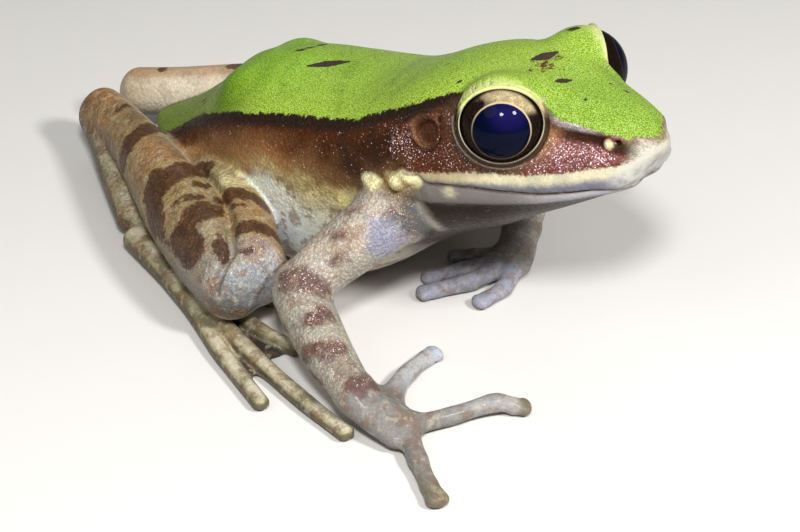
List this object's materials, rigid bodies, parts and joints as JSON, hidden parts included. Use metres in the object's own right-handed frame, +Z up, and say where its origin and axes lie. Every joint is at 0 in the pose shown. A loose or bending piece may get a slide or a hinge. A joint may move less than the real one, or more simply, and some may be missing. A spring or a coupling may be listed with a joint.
{
  "type": "frog",
  "caption": "Large odorous frog sitting with its head raised and long hind legs folded, granular green back, brown sides and webbed feet; a still, life-size display model.",
  "frame": {"origin": "middle of the bounding box's base, on the floor under the chest", "axes": "+Y from the snout towards the rump, +X to the frog's own left, +Z up"},
  "size_m": [0.0772, 0.0954, 0.0392],
  "materials": {
    "back_skin": "glossy",
    "throat_skin": "glossy",
    "ear_skin": "glossy",
    "arm_skin": "glossy",
    "hand_skin": "glossy",
    "leg_skin": "glossy",
    "eye": "polished"
  },
  "bodies": {
    "root": {"head": "back_skin", "lower_jaw": "throat_skin", "torso": "back_skin", "eye_right": "eye", "tympanum_right": "ear_skin", "upper_arm_right": "arm_skin", "forearm_right": "arm_skin", "hand_right": "hand_skin", "finger_1_right": "hand_skin", "finger_2_right": "hand_skin", "finger_3_right": "hand_skin", "finger_4_right": "hand_skin", "thigh_right": "leg_skin", "shank_right": "leg_skin", "tarsus_right": "leg_skin", "foot_right": "leg_skin", "eye_left": "eye", "tympanum_left": "ear_skin", "upper_arm_left": "arm_skin", "forearm_left": "arm_skin", "hand_left": "hand_skin", "finger_1_left": "hand_skin", "finger_2_left": "hand_skin", "finger_3_left": "hand_skin", "finger_4_left": "hand_skin", "thigh_left": "leg_skin", "shank_left": "leg_skin", "tarsus_left": "leg_skin", "foot_left": "leg_skin"}
  },
  "joints": []
}
